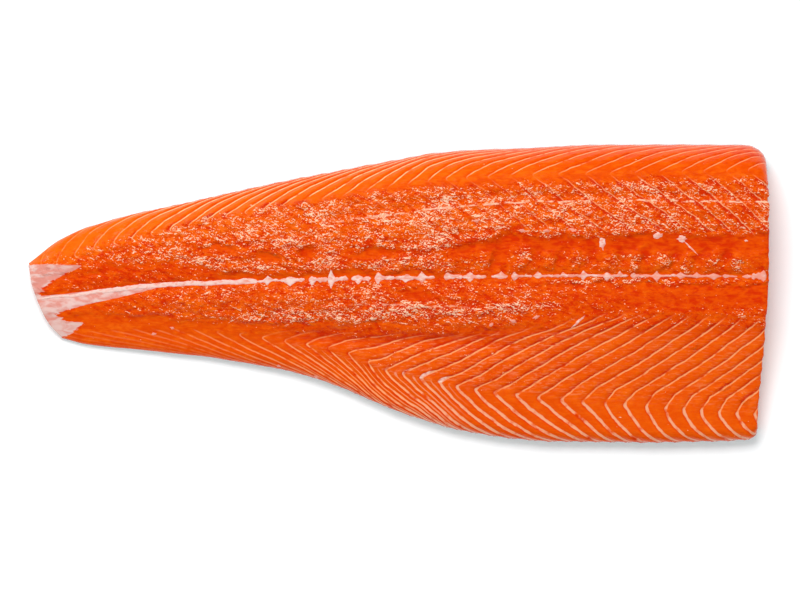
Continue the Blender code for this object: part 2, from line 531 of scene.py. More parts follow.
@dataclass(frozen=True)
class Patch:
    """An oval place where the flesh is smooth and deep in colour."""

    centre: tuple[float, float]  # along the fillet, and across
    reach: tuple[float, float]
    slant: float = 0.0
    hollow: float = 0.0  # how deep it is sunk
    darker: float = 0.15

    def at(self, x: np.ndarray, across: np.ndarray) -> np.ndarray:
        """How far inside the patch each place is, from 0 at its edge to 1."""
        along, aside = x - self.centre[0], across - self.centre[1]
        turned = along * cos(self.slant) + aside * sin(self.slant)
        aside = aside * cos(self.slant) - along * sin(self.slant)
        return ease(1.4 - np.hypot(turned / self.reach[0], aside / self.reach[1]))


@dataclass(frozen=True)
class FleshPattern:
    """Where the cut flesh is rough, bright or covered by a film, and where its walls show.

    Every method takes places along the fillet and distances across, and returns a value each.
    """

    back_wall: Band = Band(
        low=Curve(((-200.0, 13.0), (-123.0, 30.5), (-50.0, 44.0), (17.6, 54.0), (190.0, 59.0))),
        high=level(200.0),
        amount=Curve(((-185.0, 0.2), (-150.0, 0.5), (-115.0, 1.0), (-20.0, 1.0), (60.0, 0.65), (200.0, 0.42))),
        soft=5.0,
    )
    loin_wall: Band = Band(
        low=Curve(((-60.0, 34.0), (90.0, 26.0), (200.0, 24.0))),
        high=Curve(((-50.0, 41.0), (17.6, 50.5), (190.0, 54.0))),
        amount=Curve(((-60.0, 0.05), (60.0, 0.2), (110.0, 0.45), (200.0, 0.5))),
        soft=5.0,
    )
    belly_wall: Band = Band(
        low=Curve(
            ((-200.0, -19.0), (-60.0, -33.5), (-10.0, -50.0), (64.0, -65.0), (183.0, -75.0))
        ),
        high=Curve(
            ((-60.0, -30.0), (30.0, -34.0), (75.0, -30.0), (110.0, -23.0), (200.0, -26.0))
        ),
        amount=Curve(((-80.0, 0.0), (-30.0, 0.6), (10.0, 0.9), (200.0, 0.9))),
        soft=7.0,
    )
    edge_wall: Band = Band(
        low=level(-200.0),
        high=Curve(
            ((-200.0, -19.0), (-60.0, -33.0), (-10.0, -50.0), (64.0, -65.0), (183.0, -75.0))
        ),
        amount=Curve(((-190.0, 0.12), (-120.0, 0.3), (-50.0, 0.7), (20.0, 1.0), (200.0, 1.0))),
        soft=1.5,
    )
    doubled_wall: Band = Band(
        low=level(-200.0),
        high=Curve(((-60.0, -34.0), (-10.0, -51.0), (40.0, -62.0))),
        amount=Curve(((-60.0, 0.0), (-35.0, 0.6), (15.0, 0.6), (40.0, 0.0))),
        soft=3.0,
    )
    fat: Band = Band(
        low=Curve(((-60.0, -40.0), (30.0, -60.0), (183.0, -74.0))),
        high=Curve(((-60.0, -32.0), (30.0, -36.0), (90.0, -28.0), (200.0, -30.0))),
        amount=Curve(((-60.0, 0.1), (20.0, 0.4), (80.0, 0.35), (130.0, 0.2), (200.0, 0.2))),
        soft=8.0,
    )
    seams: tuple[Seam, ...] = (
        Seam(
            Curve(((-40.0, 31.0), (0.0, 35.0), (45.0, 39.5), (120.0, 41.0), (198.0, 40.5))),
            Curve(((-45.0, 0.0), (-30.0, 0.5), (50.0, 0.9), (150.0, 1.0), (200.0, 1.0))),
        ),
        Seam(
            Curve(((-25.0, -14.0), (35.0, -16.5))),
            Curve(((-28.0, 0.0), (-15.0, 0.6), (25.0, 0.6), (40.0, 0.0))),
        ),
    )
    rough_bands: tuple[Band, ...] = (
        Band(
            low=Curve(((-190.0, 11.0), (-120.0, 13.0), (-90.0, 5.0), (0.0, 3.0))),
            high=Curve(((-200.0, 20.0), (-160.0, 27.0), (-123.0, 33.0), (-50.0, 43.0), (17.6, 50.0))),
            amount=Curve(((-190.0, 0.5), (-120.0, 0.8), (-50.0, 0.85), (12.0, 0.8), (36.0, 0.0))),
            soft=5.0,
        ),
        Band(
            low=Curve(((20.0, 14.0), (60.0, 20.0), (200.0, 23.0))),
            high=Curve(((17.6, 50.0), (110.0, 52.5), (200.0, 54.0))),
            amount=Curve(((12.0, 0.0), (36.0, 0.8), (110.0, 0.8), (200.0, 0.7))),
            soft=5.0,
        ),
        Band(
            low=level(1.0),
            high=level(13.0),
            amount=Curve(((12.0, 0.0), (36.0, 0.6), (80.0, 0.5), (200.0, 0.45))),
            soft=3.0,
        ),
        Band(
            low=Curve(((-190.0, -9.0), (-60.0, -24.0), (60.0, -19.0), (200.0, -8.0))),
            high=level(-1.0),
            amount=Curve(((-190.0, 0.2), (-110.0, 0.65), (-30.0, 0.75), (60.0, 0.6), (120.0, 0.35))),
            soft=5.0,
        ),
        Band(
            low=Curve(((-80.0, -30.0), (0.0, -34.0), (40.0, -31.0), (80.0, -24.0))),
            high=level(-18.0),
            amount=Curve(((-110.0, 0.0), (-60.0, 0.3), (50.0, 0.3), (90.0, 0.0))),
            soft=4.0,
        ),
        Band(
            low=level(2.0),
            high=Curve(((-190.0, 9.0), (-130.0, 12.0))),
            amount=Curve(((-190.0, 0.35), (-120.0, 0.5), (-90.0, 0.0))),
            soft=3.0,
        ),
        Band(
            low=level(-29.0),
            high=level(-15.0),
            amount=Curve(((0.0, 0.2), (80.0, 0.4), (200.0, 0.45))),
            soft=6.0,
        ),
        Band(
            low=Curve(((-60.0, -36.0), (-10.0, -50.0), (64.0, -62.0), (183.0, -72.0))),
            high=Curve(((-60.0, -33.0), (30.0, -37.0), (110.0, -30.0), (200.0, -32.0))),
            amount=Curve(((-60.0, 0.0), (-10.0, 0.2), (70.0, 0.25), (110.0, 0.1), (200.0, 0.1))),
            soft=6.0,
        ),
        Band(
            low=level(-4.5),
            high=level(-1.0),
            amount=Curve(((60.0, 0.0), (110.0, 0.6), (200.0, 0.6))),
            soft=2.0,
        ),
    )
    bright_bands: tuple[Band, ...] = (
        Band(
            low=Curve(((-200.0, 13.0), (-123.0, 30.0), (-50.0, 43.0), (17.6, 52.0), (190.0, 56.0))),
            high=level(200.0),
            amount=Curve(((-120.0, 0.5), (0.0, 0.4), (60.0, 0.25), (200.0, 0.0))),
            soft=4.0,
        ),
        Band(
            low=level(24.0),
            high=Curve(((-200.0, 12.0), (-123.0, 29.0), (-50.0, 42.0), (17.6, 50.0), (200.0, 55.0))),
            amount=Curve(((-200.0, 0.35), (-60.0, 0.25), (60.0, 0.15))),
            soft=8.0,
        ),
        Band(
            low=level(-200.0),
            high=Curve(((-200.0, -12.0), (-60.0, -28.0), (60.0, -34.0), (200.0, -30.0))),
            amount=Curve(((-120.0, 0.15), (60.0, 0.15), (200.0, 0.25))),
            soft=8.0,
        ),
    )
    deep_bands: tuple[Band, ...] = (
        Band(
            low=level(13.0),
            high=level(24.0),
            amount=Curve(((-20.0, 0.0), (40.0, 0.2), (200.0, 0.2))),
            soft=8.0,
        ),
        Band(
            low=Curve(((0.0, -22.0), (200.0, -20.0))),
            high=level(-2.0),
            amount=Curve(((-40.0, 0.0), (60.0, 0.15), (200.0, 0.2))),
            soft=5.0,
        ),
        Band(
            low=level(1.0),
            high=Curve(((-190.0, 9.0), (-130.0, 12.0), (-100.0, 9.0))),
            amount=Curve(((-195.0, 0.2), (-120.0, 0.2), (-90.0, 0.0))),
            soft=3.0,
        ),
        Band(
            low=Curve(((-62.0, -34.0), (-10.0, -38.0), (30.0, -40.0), (72.0, -40.0))),
            high=Curve(((-62.0, -26.0), (-10.0, -28.0), (30.0, -30.0), (72.0, -30.0))),
            amount=Curve(((-75.0, 0.0), (-40.0, 0.3), (40.0, 0.3), (80.0, 0.0))),
            soft=5.0,
        ),
    )
    patches: tuple[Patch, ...] = (
        Patch((-48.5, 14.5), (4.5, 3.0), hollow=0.9, darker=0.35),
        Patch((-14.0, 13.5), (17.0, 3.6), hollow=0.3),
        Patch((56.0, 13.0), (3.4, 13.0), slant=-0.5, hollow=1.0, darker=0.2),
        Patch((62.0, 19.5), (9.0, 3.5), hollow=0.4),
        Patch((96.0, 18.5), (12.0, 4.0), hollow=0.3),
        Patch((128.0, 19.0), (10.0, 4.0), hollow=0.3),
        Patch((172.0, 19.0), (17.0, 3.5), hollow=0.2),
        Patch((12.0, -9.0), (9.0, 4.0), hollow=0.3),
        Patch((-70.0, 12.0), (7.0, 3.0), hollow=0.3),
        Patch((-95.0, 19.0), (9.0, 2.5), hollow=0.4),
    )
    # pits: sunk hollows, also painted darker as shade in them
    pits: tuple[Patch, ...] = tuple(
        Patch((place, 11.0), (2.8, 5.0), slant=-0.45, hollow=0.7, darker=0.3)
        for place in (75.0, 89.0, 105.0, 122.0, 135.0, 149.0, 163.0, 177.0)
    )
    thick_walls: tuple[Patch, ...] = (
        Patch((-7.5, -49.5), (3.0, 2.0), slant=0.4),
        Patch((2.5, -51.5), (5.5, 2.6), slant=0.4),
        Patch((13.5, -53.5), (6.5, 2.8), slant=0.4),
        Patch((24.0, -56.5), (4.0, 2.0), slant=0.4),
    )
    # tufts: raised lumps, also painted lighter as light on them
    tufts: tuple[Patch, ...] = tuple(
        Patch((place, across), (4.2, 6.5), slant=-0.45, hollow=-0.6, darker=-0.1)
        for place, across in (
            (68.0, 9.0),
            (82.0, 8.0),
            (96.0, 8.5),
            (115.0, 8.5),
            (128.5, 7.0),
            (142.0, 8.0),
            (155.5, 7.0),
            (170.0, 8.0),
            (183.0, 7.0),
        )
    )
    # specks: small places of torn flesh, where glints are painted
    specks: tuple[Patch, ...] = (
        Patch((188.0, -67.0), (5.0, 4.0), slant=0.7),
        Patch((160.0, -37.0), (3.5, 2.0), slant=0.5),
        Patch((176.0, -60.0), (5.0, 2.5), slant=0.6),
    )
    wall_width: tuple[float, float] = (0.30, 0.64)
    fine_back: float = 0.12  # how much narrower they are on the back
    middle_tone: float = 0.45

    # The silvery film at the tail: how far it reaches from the tail, by distance across.
    film_end: Curve = Curve(
        (
            (-25.0, -181.0),
            (-20.0, -174.0),
            (-16.5, -170.0),
            (-14.5, -178.0),
            (-10.0, -184.0),
            (-6.5, -170.0),
            (-4.5, -150.0),
            (-1.0, -130.0),
            (0.5, -142.0),
            (1.5, -194.0),
            (5.0, -192.0),
            (9.0, -187.0),
            (13.0, -178.0),
            (15.5, -171.0),
            (17.5, -182.0),
            (20.0, -199.0),
        )
    )

    def wall_strength(self, x: np.ndarray, across: np.ndarray) -> np.ndarray:
        """How plainly the walls between the muscle blocks show."""
        bands = (self.back_wall, self.loin_wall, self.belly_wall, self.edge_wall)
        return np.clip(sum(band.at(x, across) for band in bands), 0.0, 1.0)

    def wall_half_width(self, x: np.ndarray, across: np.ndarray) -> np.ndarray:
        """Half the width of a wall's pale line."""
        at_edge = ease(self.edge_wall.at(x, across)) * ease((x + 30.0) / 80.0)
        thick = np.max([patch.at(x, across) for patch in self.thick_walls], axis=0)
        fine = self.wall_width[0] - self.fine_back * ease(across / 30.0)
        return fine + (self.wall_width[1] - self.wall_width[0]) * at_edge + 0.7 * thick

    def seam_strength(self, x: np.ndarray, across: np.ndarray) -> np.ndarray:
        """How plainly a seam shows at the nearest place on it."""
        strength = np.zeros_like(x)
        for seam in self.seams:
            close = np.abs(across - seam.line.at(x)) < 5.0
            strength = np.where(close, np.clip(seam.amount.at(x), 0.0, 1.0), strength)
        return strength

    def from_seam(self, x: np.ndarray, across: np.ndarray) -> np.ndarray:
        """The distance from the nearest seam, negative on its belly side."""
        nearest = np.full_like(x, 50.0)
        for seam in self.seams:
            distance = across - seam.line.at(x)
            nearest = np.where(np.abs(distance) < np.abs(nearest), distance, nearest)
        return nearest

    def bare(self, x: np.ndarray, across: np.ndarray) -> np.ndarray:
        """How far inside a smooth patch a place is, from 0 to 1."""
        return np.max([patch.at(x, across) for patch in self.patches], axis=0)

    def hollow(self, x: np.ndarray, across: np.ndarray) -> np.ndarray:
        """How deep the smooth patches are sunk."""
        patches = self.patches + self.pits + self.tufts
        return sum(patch.hollow * patch.at(x, across) for patch in patches)

    def rough(self, x: np.ndarray, across: np.ndarray) -> np.ndarray:
        """How torn the flesh is, which sets its relief and where pale fibres and painted glints show."""
        torn = np.clip(sum(band.at(x, across) for band in self.rough_bands), 0.0, 1.0)
        tufts = np.max([tuft.at(x, across) for tuft in self.tufts], axis=0)
        specks = np.max([speck.at(x, across) for speck in self.specks], axis=0)
        torn = np.maximum(torn * (1.0 - 0.9 * self.bare(x, across)), 0.9 * tufts)
        return np.maximum(torn, 0.5 * specks)

    def tone(self, x: np.ndarray, across: np.ndarray) -> np.ndarray:
        """How bright the orange is, from 0 for deep red to 1 for bright orange, with painted shade in the pits and
        painted light on the tufts.
        """
        bright = sum(band.at(x, across) for band in self.bright_bands)
        deep = sum(band.at(x, across) for band in self.deep_bands)
        patches = self.patches + self.pits + self.tufts
        darker = sum(patch.darker * patch.at(x, across) for patch in patches)
        return self.middle_tone + bright - deep - darker

    def film(self, x: np.ndarray, across: np.ndarray) -> np.ndarray:
        """How far inside the film at the tail a place is, in millimetres."""
        return np.clip(self.film_end.at(across) - x, -5.0, 5.0)


class Surface(IntEnum):
    """The two surfaces of the fillet, in the order of their material slots."""

    FLESH = 0
    SKIN = 1


@dataclass
class FleshGrid:
    """The fillet's surface as flat arrays: one entry for each vertex, in millimetres."""

    places: np.ndarray
    x: np.ndarray
    across: np.ndarray
    depth: np.ndarray
    faces: list[tuple[int, ...]]
    surfaces: list[Surface]
    knife_edge: set[int]
    lift: np.ndarray  # how freely a vertex may rise from the bare form: none at the foot


@dataclass
class Fillet:
    """The side of salmon itself: one closed body of flesh with its skin."""

    form: FilletForm = field(default_factory=FilletForm)
    pattern: FleshPattern = field(default_factory=FleshPattern)
    back: MuscleBlocks = BACK_BLOCKS
    belly: MuscleBlocks = BELLY_BLOCKS
    wall_groove: float = 0.28
    wall_groove_width: float = 1.3
    block_bulge: float = 0.22
    torn_relief: float = 1.3
    torn_size: tuple[float, float, float] = (9.0, 4.0, 4.0)
    ragged: float = 2.6
    ragged_size: float = 10.0
    terrace: float = 0.3
    seam_ridge: float = 0.35
    seam_furrow: float = 0.6
    swell: float = 0.5
    swell_size: float = 30.0
    cut_margin: float = 2.0  # how far the torn look reaches down over the clean cuts at the ends

    def rim(self) -> list[tuple[int, int]]:
        """Grid indices round the edge, anticlockwise from the tail's belly corner."""
        columns, rows = self.form.columns, 2 * self.form.half_rows
        belly = [(i, 0) for i in range(columns)]
        head = [(columns, j) for j in range(rows)]
        back = [(i, rows) for i in range(columns, 0, -1)]
        tail = [(0, j) for j in range(rows, 0, -1)]
        return belly + head + back + tail

    def grid(self) -> FleshGrid:
        """Lays out the whole surface on the bare form: flesh, then rings of skin, then the foot."""
        form = self.form
        plan, share = form.plan()
        top = np.dstack([plan, form.flesh_height(plan, share)])
        columns, rows = form.columns, 2 * form.half_rows
        run = np.linalg.norm(np.diff(top, axis=1), axis=2)
        run = np.concatenate([np.zeros((columns + 1, 1)), np.cumsum(run, axis=1)], axis=1)
        across = run - run[:, form.half_rows, None]

        index = np.arange(top[..., 0].size).reshape(columns + 1, rows + 1)
        quads = np.stack([index[:-1, :-1], index[1:, :-1], index[1:, 1:], index[:-1, 1:]], axis=-1)
        faces = [tuple(quad) for quad in quads.reshape(-1, 4).tolist()]
        surfaces = [Surface.FLESH] * len(faces)

        i, j = np.array(self.rim()).T
        upper, rim_points = index[i, j], top[i, j]
        rim_share = share[j]
        on_side = np.abs(rim_share) == 1.0
        feet = form.foot(rim_points, rim_share)
        places, acrosses = [top.reshape(-1, 3)], [across.ravel()]
        depths, lifts = [np.zeros(index.size)], [np.ones(index.size)]
        before, fallen = rim_points, np.zeros(len(i))
        for k in range(1, form.skin_rows + 1):
            turn = k / form.skin_rows * pi / 2
            ring = rim_points + (feet - rim_points) * (1 - cos(turn))
            ring[:, 2] = rim_points[:, 2] * (1 - sin(turn)) if k < form.skin_rows else 0.0
            fallen = fallen + np.linalg.norm(ring - before, axis=1)
            before = ring
            places.append(ring)
            acrosses.append(across[i, j] + np.where(on_side, np.sign(rim_share) * fallen, 0.0))
            depths.append(np.where(on_side, 0.0, fallen))
            lifts.append(np.full(len(i), cos(turn) ** 2))
            lower = index.size + (k - 1) * len(i) + np.arange(len(i))
            ring_faces = np.stack([lower, np.roll(lower, -1), np.roll(upper, -1), upper], axis=-1)
            faces += [tuple(quad) for quad in ring_faces.tolist()]
            both_on_side = on_side & np.roll(on_side, -1)
            skin = both_on_side & (k > 1) | (k == form.skin_rows)
            surfaces += [Surface(int(is_skin)) for is_skin in skin]
            upper = lower
        faces.append(tuple(upper[::-1].tolist()))
        surfaces.append(Surface.SKIN)

        places = np.concatenate(places)
        knife_edge = set(index[0].tolist() + index[-1].tolist())
        return FleshGrid(
            places=places,
            x=places[:, 0],
            across=np.concatenate(acrosses),
            depth=np.concatenate(depths),
            faces=faces,
            surfaces=surfaces,
            knife_edge=knife_edge,
            lift=np.concatenate(lifts),
        )

    def fields(self, grid: FleshGrid) -> dict[str, np.ndarray]:
        """Works out the values that the flesh's finish reads.

        Args:
            grid: The surface.

        Returns:
            One array for each named value, with an entry for each vertex.
        """
        x = grid.x + self.ragged * grain(grid.places, self.ragged_size, 3)
        across = grid.across + self.ragged * grain(grid.places, self.ragged_size, 3, 7.3)
        out = np.abs(grid.across)
        on_back = grid.across > 0
        on_top = np.exp(-grid.depth / self.cut_margin)
        sides = [(blocks.number(grid.x, out, grid.depth), blocks.spacing(grid.x, out, grid.depth))
                 for blocks in (self.back, self.belly)]
        return {
            "block": np.where(on_back, sides[0][0], sides[1][0]),
            "spacing": np.where(on_back, sides[0][1], sides[1][1]),
            "wall": self.pattern.wall_strength(grid.x, grid.across),
            "wall_width": self.pattern.wall_half_width(grid.x, grid.across),
            "rough": self.pattern.rough(x, across) * on_top,
            "tone": self.pattern.tone(x, across),
            "hollow": self.pattern.hollow(x, across),
            "doubled": self.pattern.doubled_wall.at(grid.x, grid.across),
            "fat": self.pattern.fat.at(x, across),
            "seam": self.pattern.seam_strength(grid.x, grid.across) * on_top,
            "from_seam": self.pattern.from_seam(grid.x, grid.across),
            "film": self.pattern.film(grid.x, grid.across),
        }

    def relief(self, grid: FleshGrid, fields: dict[str, np.ndarray]) -> np.ndarray:
        """How far each vertex stands proud of the bare form."""
        phase = fields["block"] - np.round(fields["block"])
        from_wall = np.abs(phase) * fields["spacing"]
        groove = np.exp(-((from_wall / self.wall_groove_width) ** 2))
        bulge = np.cos(phase * 2 * pi) * -0.5
        terrace = -self.terrace * (1.0 + 2.0 * fields["rough"]) * phase * (1.0 - groove)
        walls = fields["wall"] * (self.block_bulge * bulge - self.wall_groove * groove + terrace)
        lumps = grain(grid.places / self.torn_size, 1.0, 3, 3.1)
        torn = fields["rough"] * self.torn_relief * lumps
        from_seam = fields["from_seam"] + 1.5 * grain(grid.places, 14.0, 2, 17.0)
        ridge = self.seam_ridge * np.exp(-((from_seam / 1.4) ** 2))
        furrow = self.seam_furrow * np.exp(-(((from_seam - 2.8) / 1.6) ** 2))
        seams = fields["seam"] * (ridge - furrow)
        swell = self.swell * grain(grid.places, self.swell_size, 2, 11.0)
        return (walls + torn + seams + swell - fields["hollow"]) * grid.lift

    def build(self) -> bpy.types.Object:
        """Makes the fillet's mesh with its relief, and dresses it."""
        grid = self.grid()
        fields = self.fields(grid)
        mesh = bpy.data.meshes.new("salmon_side")
        mesh.from_pydata(grid.places * MM, [], grid.faces)
        mesh.update()
        normals = np.empty(len(grid.x) * 3, np.float32)
        mesh.vertex_normals.foreach_get("vector", normals)
        raised = grid.places + normals.reshape(-1, 3) * self.relief(grid, fields)[:, None]
        mesh.vertices.foreach_set("co", (raised * MM).astype(np.float32).ravel())
        for name, values in fields.items():
            layer = mesh.attributes.new(name, "FLOAT", "POINT")
            layer.data.foreach_set("value", values.astype(np.float32))
        mesh.polygons.foreach_set("material_index", [int(s) for s in grid.surfaces])
        mesh.shade_smooth()
        mesh.polygons[-1].use_smooth = False  # the flat foot
        ends = np.empty(len(mesh.edges) * 2, np.int32)
        mesh.edges.foreach_get("vertices", ends)
        on_edge = np.isin(ends.reshape(-1, 2), list(grid.knife_edge)).all(axis=1)
        sharp = mesh.attributes.new("sharp_edge", "BOOLEAN", "EDGE")
        sharp.data.foreach_set("value", on_edge)
        mesh.update()
        piece = bpy.data.objects.new("salmon_side", mesh)
        bpy.context.scene.collection.objects.link(piece)
        mesh.materials.append(FleshFinish().material())
        mesh.materials.append(SkinFinish().material())
        return piece


class Signal:
    """A number that varies over a surface, worked out by a material's nodes."""

    def __init__(self, graph: "NodeGraph", socket: bpy.types.NodeSocket) -> None:
        """Holds the output socket that gives the number."""
        self.graph = graph
        self.socket = socket

    def __add__(self, other: "Value") -> "Signal":
        """The sum."""
        return self.graph.math("ADD", self, other)

    def __sub__(self, other: "Value") -> "Signal":
        """The difference."""
        return self.graph.math("SUBTRACT", self, other)

    def __rsub__(self, other: "Value") -> "Signal":
        """The difference from a number."""
        return self.graph.math("SUBTRACT", other, self)

    def __mul__(self, other: "Value") -> "Signal":
        """The product."""
        return self.graph.math("MULTIPLY", self, other)

    def __abs__(self) -> "Signal":
        """The distance from zero."""
        return self.graph.math("ABSOLUTE", self)

    def high(self, other: "Value") -> "Signal":
        """The higher of the two."""
        return self.graph.math("MAXIMUM", self, other)

    def step(self, low: "Value", high: "Value") -> "Signal":
        """A smooth step from 0 at low to 1 at high. Low may be the larger."""
        return self.graph.step(self, low, high)

    __radd__, __rmul__ = __add__, __mul__


Value = float | Signal
Sizes = float | tuple[float, float, float]


class NodeGraph:
    """A material's nodes, made by short calls that each return what the node gives."""

    def __init__(self, name: str) -> None:
        """Starts a material with a Principled shader."""
        self.material = bpy.data.materials.new(name)
        self.material.use_nodes = True
        self.tree = self.material.node_tree
        self.shader = self.tree.nodes["Principled BSDF"]
        coordinates = self.tree.nodes.new("ShaderNodeTexCoord")
        node = self.tree.nodes.new("ShaderNodeVectorMath")
        node.operation = "SCALE"
        node.inputs["Scale"].default_value = 1 / MM
        self.tree.links.new(coordinates.outputs["Object"], node.inputs[0])
        self.place = node.outputs["Vector"]

    def feed(self, socket: bpy.types.NodeSocket, value: "Value | tuple | bpy.types.NodeSocket") -> None:
        """Links a value to a socket if it comes from a node, or else sets it there."""
        value = value.socket if isinstance(value, Signal) else value
        if isinstance(value, bpy.types.NodeSocket):
            self.tree.links.new(value, socket)
        else:
            socket.default_value = value

    def math(self, operation: str, *values: Value) -> Signal:
        """Adds a Math node."""
        node = self.tree.nodes.new("ShaderNodeMath")
        node.operation = operation
        for socket, value in zip(node.inputs, values):
            self.feed(socket, value)
        return Signal(self, node.outputs[0])

    def step(self, value: Value, low: Value, high: Value) -> Signal:
        """A smooth step from 0 at low to 1 at high."""
        node = self.tree.nodes.new("ShaderNodeMapRange")
        node.interpolation_type = "SMOOTHSTEP"
        for name, given in (("Value", value), ("From Min", low), ("From Max", high)):
            self.feed(node.inputs[name], given)
        return Signal(self, node.outputs["Result"])

    def along(self, axis: str) -> Signal:
        """The place along one axis, in millimetres."""
        node = self.tree.nodes.new("ShaderNodeSeparateXYZ")
        self.feed(node.inputs[0], self.place)
        return Signal(self, node.outputs[axis])

    def attribute(self, name: str) -> Signal:
        """Reads one of the mesh's named values."""
        node = self.tree.nodes.new("ShaderNodeAttribute")
        node.attribute_name = name
        return Signal(self, node.outputs["Fac"])

    def spread(
        self, sizes: Sizes, shift: float, slant: float, nudge: tuple[float, float] = (0.0, 0.0)
    ) -> bpy.types.NodeSocket:
        """Stretches the places of the surface, so that a texture of size 1 gets the given size.

        Args:
            sizes: Millimetres for each unit of the texture, or one number for each axis.
            shift: Moves to another part of the texture.
            slant: Turns the texture about the vertical, in radians.
            nudge: Moves the texture a little along X and Y, in millimetres.

        Returns:
            The texture's coordinates.
        """
        node = self.tree.nodes.new("ShaderNodeMapping")
        node.vector_type = "TEXTURE"
        node.inputs["Scale"].default_value = sizes if isinstance(sizes, tuple) else (sizes,) * 3
        moved = (shift * 37.0 + nudge[0], shift * 23.0 + nudge[1], shift * 11.0)
        node.inputs["Location"].default_value = moved
        node.inputs["Rotation"].default_value = (0.0, 0.0, slant)
        self.feed(node.inputs["Vector"], self.place)
        return node.outputs["Vector"]

    def noise(
        self,
        sizes: Sizes,
        detail: float = 2.0,
        swirl: float = 0.0,
        shift: float = 0.0,
        slant: float = 0.0,
        nudge: tuple[float, float] = (0.0, 0.0),
    ) -> Signal:
        """Adds cloudy noise.

        Args:
            sizes: The width of its lumps in millimetres, or one for each axis.
            detail: How much finer noise is added.
            swirl: How much it swirls.
            shift: Moves to another part of the same noise.
            slant: Turns the lumps about the vertical, in radians.
            nudge: Moves them a little along X and Y, in millimetres.

        Returns:
            Its value, about 0.5 on average.
        """
        node = self.tree.nodes.new("ShaderNodeTexNoise")
        node.inputs["Scale"].default_value = 1.0
        node.inputs["Detail"].default_value = detail
        node.inputs["Distortion"].default_value = swirl
        self.feed(node.inputs["Vector"], self.spread(sizes, shift, slant, nudge))
        return Signal(self, node.outputs["Fac"])

    def cells(self, sizes: Sizes) -> Signal:
        """Adds rounded cells and returns the distance from their middles."""
        node = self.tree.nodes.new("ShaderNodeTexVoronoi")
        node.feature = "SMOOTH_F1"
        node.inputs["Scale"].default_value = 1.0
        self.feed(node.inputs["Vector"], self.spread(sizes, 0.0, 0.0))
        return Signal(self, node.outputs["Distance"])

    def squiggles(self, sizes: Sizes, thin: float, shift: float, slant: float = 0.0) -> Signal:
        """Curling lines, where swirled noise passes its middle value."""
        off_middle = abs(self.noise(sizes, 2.0, 0.9, shift, slant) - 0.5)
        return off_middle.step(thin, thin * 0.4)

    def mix(self, share: Value, first: object, second: object) -> bpy.types.NodeSocket:
        """Mixes two colours, from the first at 0 to the second at 1."""
        node = self.tree.nodes.new("ShaderNodeMix")
        node.data_type = "RGBA"
        self.feed(node.inputs["Factor"], share)
        for socket, colour in zip((node.inputs[6], node.inputs[7]), (first, second)):
            self.feed(socket, colour)
        return node.outputs[2]

    def bump(self, height: Signal) -> None:
        """Gives the shader a fine relief, whose height is in millimetres."""
        node = self.tree.nodes.new("ShaderNodeBump")
        node.inputs["Strength"].default_value = 1.0
        node.inputs["Distance"].default_value = MM
        self.feed(node.inputs["Height"], height)
        self.feed(self.shader.inputs["Normal"], node.outputs["Normal"])

    def set(self, **inputs: object) -> None:
        """Sets the shader's own inputs, with _ for the spaces in their names."""
        for name, value in inputs.items():
            self.feed(self.shader.inputs[name.replace("_", " ")], value)


